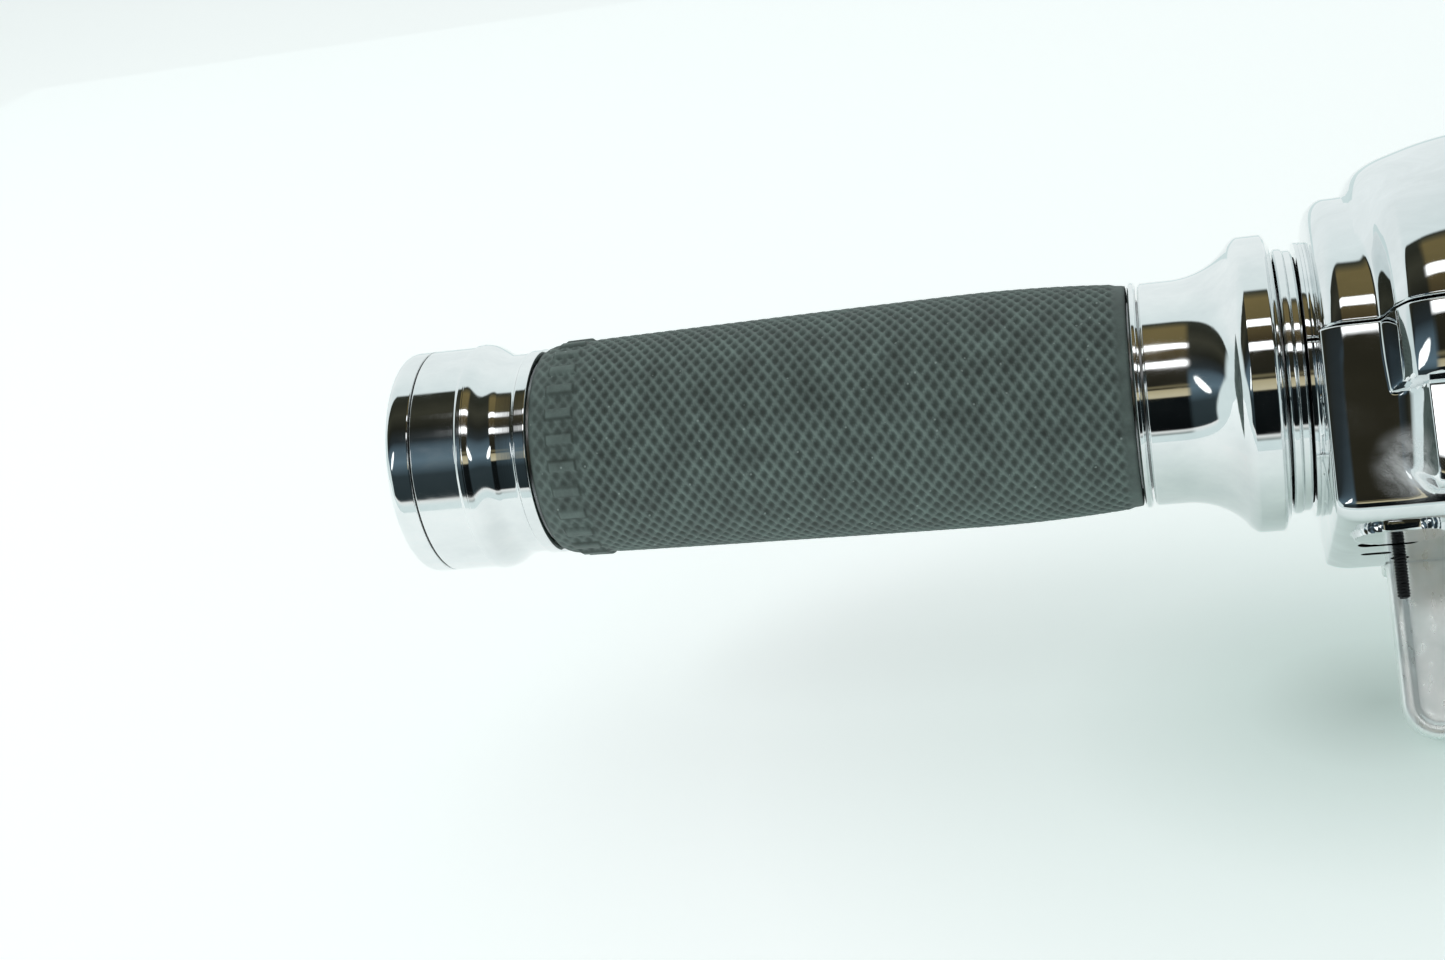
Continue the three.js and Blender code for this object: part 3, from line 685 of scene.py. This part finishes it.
def cut(piece, shapes):
    # takes all the shapes away in one Boolean and keeps the result as the piece's mesh
    mesh = bpy.data.meshes.new("cutters")
    work = bmesh.new()
    for points in shapes:
        rows, columns = points.shape[:2]
        vertices = [[work.verts.new(Vector(point) * mm) for point in row] for row in points]
        for a, b in zip(vertices[:-1], vertices[1:]):
            for k in range(columns):
                work.faces.new([a[k], a[(k + 1) % columns], b[(k + 1) % columns], b[k]])
        work.faces.new(vertices[0][::-1])
        work.faces.new(vertices[-1])
    bmesh.ops.remove_doubles(work, verts=work.verts, dist=1e-7)
    bmesh.ops.dissolve_degenerate(work, edges=work.edges, dist=1e-7)
    bmesh.ops.recalc_face_normals(work, faces=work.faces)
    work.to_mesh(mesh)
    work.free()
    tool = bpy.data.objects.new("cutters", mesh)
    bpy.context.scene.collection.objects.link(tool)
    boolean = piece.modifiers.new("holes", "BOOLEAN")
    boolean.operation, boolean.solver, boolean.object = "DIFFERENCE", "MANIFOLD", tool
    shaped = bpy.data.meshes.new_from_object(piece.evaluated_get(bpy.context.evaluated_depsgraph_get()))
    piece.modifiers.clear()
    old, piece.data = piece.data, shaped
    bpy.data.meshes.remove(old)
    bpy.data.objects.remove(tool)
    bpy.data.meshes.remove(mesh)
    shaped.polygons.foreach_set("use_smooth", np.ones(len(shaped.polygons), bool))
    shaped.set_sharp_from_angle(angle=math.radians(35))


clamps = dict(x=35.0, y=21.0, well=4.1, wellTo=-20.0, hole=2.7)
armScrews = dict(x=(14.0, 21.8), y=17.8, hole=1.95, well=3.3, floor=-25.2)
friction = dict(x=11.3, y=5.0, bore=1.3, boreTo=-23.6, pocket=2.9)
inlet = dict(x=6.2, y=17.2, bore=3.3)
recess = dict(x0=9.5, x1=26.3, y=7.7, z=-23.2)
slit = dict(x0=4.8, x1=13.0, y=-6.4, half=1.6)
nick = dict(x0=5.6, x1=9.8, y=0.4, half=0.8)


def makeHousing():
    houseShell("upper_housing_cast", "upper_housing", upperRadius, 1, 170)
    lower = houseShell("lower_housing_cast", "lower_housing", lowerRadius, -1, 300)
    c, a, f = clamps, armScrews, friction
    shapes = [boxCutter((recess["x0"], recess["y"], -40), (recess["x1"], 40, recess["z"])),
              barCutter(slit["x0"], slit["x1"], slit["y"], slit["half"], -35, -12), barCutter(nick["x0"],
                                                                                              nick["x1"],
                                                                                              nick["y"],
                                                                                              nick["half"],
                                                                                              -35, -24.4),
              cutter([(-40, f["bore"]), (f["boreTo"], f["bore"]), (f["boreTo"], f["pocket"]),
                      (-15, f["pocket"])], f["x"], f["y"]),
              cutter([(-40, inlet["bore"]), (-16, inlet["bore"])], inlet["x"], inlet["y"])]
    for y in (-c["y"], c["y"]):
        shapes.append(cutter([(-40, c["well"]), (c["wellTo"], c["well"]), (c["wellTo"], c["hole"]),
                              (1, c["hole"])], c["x"], y))
    for x in a["x"]:
        shapes.append(cutter([(-40, a["hole"]), (-15, a["hole"])], x, a["y"]))
    cut(lower, shapes)
    print("lower housing", len(lower.data.polygons), "faces")


makeHousing()
print("housing made")

arm = dict(x0=9.8, x1=26.0, y0=8.0, y1=12.6, z0=-52.5, z1=-23.5, corner=5.0, rim=1.9, sink=0.55,
           footTo=22.5, footFrom=-26.6)


def roundedRectangle(x0, x1, z0, z1, lowCorner, highCorner, inset, perCorner=12):
    # four corner arcs joined by straight lines; the inset moves every side inwards
    loop = []
    centres = [(x1, z0, lowCorner, -90), (x1, z1, highCorner, 0), (x0, z1, highCorner, 90),
               (x0, z0, lowCorner, 180)]
    for cx, cz, corner, start in centres:
        corner = max(corner, inset + 0.15)
        a = np.radians(start + np.linspace(0, 90, perCorner))
        loop.append(np.stack([cx - math.copysign(corner, cx - (x0 + x1) / 2) + (corner - inset)
                              * np.cos(a), cz - math.copysign(corner, cz - (z0 + z1) / 2)
                              + (corner - inset) * np.sin(a)], -1))
    return np.concatenate(loop)


def makeArm():
    # plate: the same rounded outline at growing insets, carried from the sunk face over the rim to the back
    a = arm
    rows = [(a["rim"] + 1.6, a["y0"] + a["sink"]), (a["rim"] + 0.5, a["y0"] + a["sink"]),
            (a["rim"] + 0.2, a["y0"] + a["sink"] - 0.1), (a["rim"] - 0.2, a["y0"] + 0.1),
            (a["rim"] - 0.5, a["y0"]), (0.9, a["y0"]), (0.5, a["y0"] + 0.08), (0.2, a["y0"] + 0.3),
            (0.05, a["y0"] + 0.6), (0, a["y0"] + 0.95), (0, a["y1"] - 0.8), (0.06, a["y1"] - 0.45),
            (0.25, a["y1"] - 0.15), (0.6, a["y1"]), (1.5, a["y1"])]
    loops = []
    for inset, y in rows:
        outline = roundedRectangle(a["x0"], a["x1"], a["z0"], a["z1"], a["corner"], 1.0, inset)
        loops.append(np.stack([outline[:, 0], np.full(len(outline), y), outline[:, 1]], -1))
    gridMesh("bracket_arm_plate", toFrame(np.array(loops)), satinChrome, "housing",
             ["bracket_arm"], wrapRows=False, capEnds=True)
    rows = [(1.2, a["z1"]), (0.4, a["z1"]), (0.1, a["z1"] - 0.1), (0, a["z1"] - 0.4),
            (0, a["footFrom"] + 0.5), (0.15, a["footFrom"] + 0.15), (0.5, a["footFrom"]),
            (1.3, a["footFrom"])]
    loops = []
    for inset, z in rows:
        outline = roundedRectangle(a["x0"], a["x1"], a["y1"] - 0.9, a["footTo"], 1.0, 3.0, inset)
        loops.append(np.stack([outline[:, 0], outline[:, 1], np.full(len(outline), z)], -1))
    foot = gridMesh("bracket_arm_foot", toFrame(np.array(loops)), satinChrome, "housing",
                    wrapRows=False, capEnds=True)
    s = armScrews
    cut(foot, [cutter([(-40, s["well"]), (s["floor"], s["well"]), (s["floor"], s["hole"]),
                       (-15, s["hole"])], x, s["y"]) for x in s["x"]])


makeArm()
print("arm made")


def makeSocketScrew(name, node, x, y, face, seat, tip, head, shank, socket, depth, material):
    outline, hexRows = screwOutline(face, seat, tip, head, shank, socket, depth)
    gridMesh(name, upright(outline, x, y, 60, hexRows), material, "housing", [node],
             wrapRows=False, capEnds=True)


def makeScrews():
    c, a = clamps, armScrews
    for side, y in (("front", -c["y"]), ("back", c["y"])):
        makeSocketScrew(f"clamp_screw_{side}_plated", f"clamp_screw_{side}", c["x"], y, -24.4, -21.1,
                        15.5, 3.7, 2.35, 2.0, 1.9, zincSteel)
        ring = rounded([(-20.85, 2.65, 0.05), (-20.85, 3.7, 0.12), (-20.25, 3.7, 0.12),
                        (-20.25, 2.65, 0.05)])
        gridMesh(f"lock_washer_{side}_plated", upright(ring, c["x"], y, 60), zincSteel, "housing",
                 [f"lock_washer_{side}"])
    for index, x in enumerate(a["x"], 1):
        makeSocketScrew(f"arm_screw_{index}_plated", f"arm_screw_{index}", x, a["y"], -26.9, -25.5, -15.8,
                        3.0, 1.65, 1.3, 1.0, zincSteel)
    tube = rounded([(-24, 1.2, 0.1), (-24, 3.0, 0.35), (-19.6, 3.0, 0.2), (-19.6, 1.2, 0.1)])
    gridMesh("cable_ferrule_turned", upright(tube, inlet["x"], inlet["y"]), turnedBrass, "housing",
             ["cable_ferrule"])
    seal = rounded([(0.0, 14.25, 0.2), (0.0, 17.4, 0.3), (0.5, 17.75, 0.2), (3.0, 17.75, 0.2),
                    (3.0, 14.25, 0.2)])
    gridMesh("mouth_seal_lip", spun(seal), sealRubber, "housing", ["mouth_seal"])


def makeFrictionScrew():
    # thread: r = root + depth |2 frac(z / pitch - v / 2 pi) - 1|, fading out at both ends
    low, high, pitch, tip = -32.6, -23.75, 0.45, 0.95
    z = np.concatenate([[low, low, low + 0.05], np.arange(low + 0.12, high - 0.1, 0.06),
                        [high, high]])[:, None]
    v = np.linspace(0, 2 * np.pi, 40, endpoint=False)[None, :]
    turn = (z / pitch - v / (2 * np.pi)) % 1
    r = tip - 0.17 * (1 - np.abs(2 * turn - 1))
    r = r - 0.25 * (1 - softStep(low, low + 0.35, z)) - 0.2 * softStep(high - 0.4, high, z)
    r[0], r[-1] = 0.02, 0.02
    points = toFrame(np.stack([friction["x"] + r * np.cos(v), friction["y"] + r * np.sin(v), z + 0 * v],
                              -1))
    screw = gridMesh("friction_screw_threaded", points, blackSteel, "friction_adjuster",
                     ["friction_screw"], wrapRows=False, capEnds=True)
    cut(screw, [boxCutter((friction["x"] - 2, friction["y"] - 0.18, low - 1),
                          (friction["x"] + 2, friction["y"] + 0.18, low + 0.7))])


makeScrews()
makeFrictionScrew()
for node, material, slotName in (("cable_drum", blackAcetal, "acetal"),
                                 ("friction_shoe", turnedBrass, "brass"),
                                 ("friction_spring", zincSteel, "steel")):
    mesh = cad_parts[node].data
    mesh.materials.clear()
    mesh.materials.append(material)
print("small pieces made")


# What the chrome mirrors: the direction turns about the bar, from the table in front (below 0), over the
# near side (dark, beige, brown with two strip lamps) to the white sweep overhead and behind.
room = [(-34, "#d8e8e8"), (-22, "#dcebeb"), (-20.5, "#8c9694"), (-17.5, "#f4f6f4"), (-16, "#0d1011"),
        (17, "#0f1415"), (18, "#c9c0a2"), (25, "#b5aa88"), (26, "#1b1a14"), (28.5, "#7a7257"),
        (30, "#24231c"), (47, "#2c2a20"), (49, 2.4), (53.7, 2.4), (54.3, "#3d3524"), (66.5, "#5a4f35"),
        (67.2, 2.4), (71.8, 2.4), (72.4, "#6b6040"), (90, "#746744"), (95, "#4a4838"), (97, "#30332c"),
        (99, "#e6f1f1"), (140, "#f2f9f9")]
plainRoom = [(-34, "#d8e8e8"), (-22, "#dcebeb"), (-17, "#f4f6f4"), (-16, "#2b3538"), (10, "#303b3f"),
             (25, "#5f7480"), (38, "#4e5f69"), (46, "#2a3134"), (60, "#24251f"), (75, "#3a3a30"),
             (88, "#2e2f27"), (97, "#30332c"), (99, "#e6f1f1"), (140, "#f2f9f9")]


def makeRoom():
    world = bpy.data.worlds.new("room")
    world.use_nodes = True
    bpy.context.scene.world = world
    tree = world.node_tree
    tree.nodes.clear()

    spread = addNode(tree, "ShaderNodeSeparateXYZ",
                     {"Vector": addNode(tree, "ShaderNodeTexCoord").outputs["Generated"]})
    x = spread.outputs["X"]
    toFront = addNode(tree, "ShaderNodeMath", {0: spread.outputs["Y"], 1: -1.0}, operation="MULTIPLY")
    angle = addNode(tree, "ShaderNodeMath", {0: spread.outputs["Z"], 1: toFront.outputs[0]},
                    operation="ARCTAN2").outputs[0]
    low, high = -40, 150
    place = addNode(tree, "ShaderNodeMapRange", {"Value": angle, "From Min": math.radians(low),
                                                 "From Max": math.radians(high)}).outputs["Result"]
    ramps = []
    for stops in (plainRoom, room):
        places = [((a - low) / (high - low), linear(v) if isinstance(v, str) else grey(v)) for a,
                  v in stops]
        ramps.append(addNode(tree, "ShaderNodeValToRGB", {"Fac": place}, stops=places).outputs["Color"])
    # the strip lamps and shelves fill only the middle of the view; beside them the room is plain
    sides = [addNode(tree, "ShaderNodeMapRange", {"Value": x, "From Min": outer, "From Max": inner},
                     interpolation_type="SMOOTHSTEP").outputs["Result"] for outer,
             inner in ((-0.36, -0.22), (0.4, 0.26))]
    middle = addNode(tree, "ShaderNodeMath", {0: sides[0], 1: sides[1]}, operation="MULTIPLY")
    dark = addNode(tree, "ShaderNodeMix", {0: middle.outputs[0], 6: ramps[0], 7: ramps[1]},
                   data_type="RGBA")
    # a bright doorway on each side: an ellipse of doorWide by doorHigh in x and angle, leaning with x
    doorWide, doorHigh = 0.17, math.radians(5.5)
    for centre, level, lean in ((-0.57, 27, 50), (0.42, 27, -30)):
        aside = addNode(tree, "ShaderNodeMath", {0: x, 1: centre}, operation="SUBTRACT")
        across = addNode(tree, "ShaderNodeMath", {0: aside.outputs[0], 1: doorWide}, operation="DIVIDE")
        leant = addNode(tree, "ShaderNodeMath", {0: aside.outputs[0], 1: math.radians(lean)},
                        operation="MULTIPLY")
        middleAngle = addNode(tree, "ShaderNodeMath", {0: leant.outputs[0], 1: math.radians(level)},
                              operation="ADD")
        above = addNode(tree, "ShaderNodeMath", {0: angle, 1: middleAngle.outputs[0]}, operation="SUBTRACT")
        upward = addNode(tree, "ShaderNodeMath", {0: above.outputs[0], 1: doorHigh}, operation="DIVIDE")
        squares = [addNode(tree, "ShaderNodeMath", {0: part.outputs[0], 1: 2.0},
                           operation="POWER").outputs[0] for part in (across, upward)]
        far = addNode(tree, "ShaderNodeMath", {0: squares[0], 1: squares[1]}, operation="ADD")
        outside = addNode(tree, "ShaderNodeMapRange", {"Value": far.outputs[0], "From Min": 1.1,
                                                       "From Max": 0.7}, interpolation_type="SMOOTHSTEP")
        dark = addNode(tree, "ShaderNodeMix", {0: outside.outputs["Result"], 6: dark.outputs[2],
                                               7: (1.7, 1.75, 1.75, 1)}, data_type="RGBA")
    # past the ends of the dark side, near the bar's own direction, the room is white; the left edge leans
    rising = addNode(tree, "ShaderNodeMapRange", {"Value": angle, "From Min": math.radians(-10),
                                                  "From Max": math.radians(45)},
                     interpolation_type="SMOOTHSTEP")
    pulled = addNode(tree, "ShaderNodeMath", {0: rising.outputs["Result"], 1: -0.17}, operation="MULTIPLY")
    leftEdge = addNode(tree, "ShaderNodeMath", {0: -0.78, 1: pulled.outputs[0]}, operation="ADD")
    beyond = addNode(tree, "ShaderNodeMath", {0: leftEdge.outputs[0], 1: x}, operation="SUBTRACT")
    left = addNode(tree, "ShaderNodeMapRange", {"Value": beyond.outputs[0], "From Min": -0.02,
                                                "From Max": 0.03}, interpolation_type="SMOOTHSTEP")
    right = addNode(tree, "ShaderNodeMapRange", {"Value": x, "From Min": 0.93, "From Max": 0.97},
                    interpolation_type="SMOOTHSTEP")
    white = addNode(tree, "ShaderNodeMath", {0: left.outputs["Result"], 1: right.outputs["Result"]},
                    operation="MAXIMUM")
    mirrored = addNode(tree, "ShaderNodeMix", {0: white.outputs[0], 6: dark.outputs[2],
                                               7: (0.72, 0.83, 0.83, 1)}, data_type="RGBA").outputs[2]
    rays = addNode(tree, "ShaderNodeLightPath")
    seen = addNode(tree, "ShaderNodeBackground", {"Color": (0.88, 0.94, 0.935, 1), "Strength": 1.0})
    shown = addNode(tree, "ShaderNodeBackground", {"Color": mirrored, "Strength": 1.0})
    even = addNode(tree, "ShaderNodeBackground", {"Color": (0.95, 0.985, 0.98, 1), "Strength": 0.62})
    glossy = addNode(tree, "ShaderNodeMixShader", {0: rays.outputs["Is Glossy Ray"], 1: even.outputs[0],
                                                   2: shown.outputs[0]})
    final = addNode(tree, "ShaderNodeMixShader", {0: rays.outputs["Is Camera Ray"], 1: glossy.outputs[0],
                                                  2: seen.outputs[0]})
    tree.links.new(final.outputs[0], addNode(tree, "ShaderNodeOutputWorld").inputs["Surface"])


def makeLamp(name, place, aim, size, watts):
    data = bpy.data.lights.new(name, "AREA")
    data.shape, data.size, data.energy = "DISK", size, watts
    lamp = bpy.data.objects.new(name, data)
    where, target = Vector(place), Vector(aim)
    turn = (target - where).to_track_quat("-Z", "Y").to_matrix().to_4x4()
    lamp.matrix_world = Matrix.Translation(where) @ turn
    lamp.visible_glossy = False
    bpy.context.scene.collection.objects.link(lamp)


def makeFloor():
    # a matt white board whose colour also glows a little, painted light that lifts the shadows on it, with
    # painted shade: greyer under the housing; the near piece is mirrored by the chrome, the wide one only
    # fills the view
    material, tree, shader = newMaterial("whiteBoard", Roughness=0.75)
    where = addNode(tree, "ShaderNodeTexCoord").outputs["Object"]
    # painted shade: the board's colour darkens towards a point under the housing
    paintedShadeDistance = addNode(tree, "ShaderNodeVectorMath", {0: where, 1: (0.008, -0.010, -0.049)},
                   operation="DISTANCE")
    share = addNode(tree, "ShaderNodeMapRange", {"Value": paintedShadeDistance.outputs["Value"], "From Min": 0.0,
                                                 "From Max": 0.1})
    tint = addNode(tree, "ShaderNodeValToRGB", {"Fac": share.outputs["Result"]},
                   stops=[(0.0, (0.42, 0.50, 0.475, 1)), (0.2, (0.60, 0.69, 0.665, 1)),
                          (0.5, (0.735, 0.805, 0.79, 1)), (1.0, (0.82, 0.865, 0.86, 1))])
    # the same colour also glows: painted light that lifts the shadows on the board
    for socket in ("Base Color", "Emission Color"):
        tree.links.new(tint.outputs["Color"], shader.inputs[socket])
    shader.inputs["Emission Strength"].default_value = 0.38
    level = min(cadBox[0][2], cadBox[1][2]) - 0.0001
    for name, x0, x1, y0, y1, drop, mirrored in (("table_front", -0.6, 0.5, -0.106, 0.7, 0.0, True),
                                                 ("table_wide", -6, 6, -6, 6, 0.0003, False)):
        mesh = bpy.data.meshes.new(name)
        mesh.from_pydata([(x0, y0, level - drop), (x1, y0, level - drop), (x1, y1, level - drop),
                          (x0, y1, level - drop)], [], [(0, 1, 2, 3)])
        mesh.materials.append(material)
        table = bpy.data.objects.new(name, mesh)
        table.visible_glossy = mirrored
        table.visible_camera = table.visible_diffuse = table.visible_shadow = not mirrored
        bpy.context.scene.collection.objects.link(table)


makeRoom()
makeLamp("soft_overhead", (-0.35, 0.35, 0.9), (-0.06, 0, 0), 1.3, 0.9)
makeLamp("soft_left", (-0.8, -0.3, 0.5), (-0.06, 0, 0), 0.3, 1.8)
makeFloor()
bpy.context.scene.view_settings.view_transform = "Standard"

print("CAD box", cadBox)
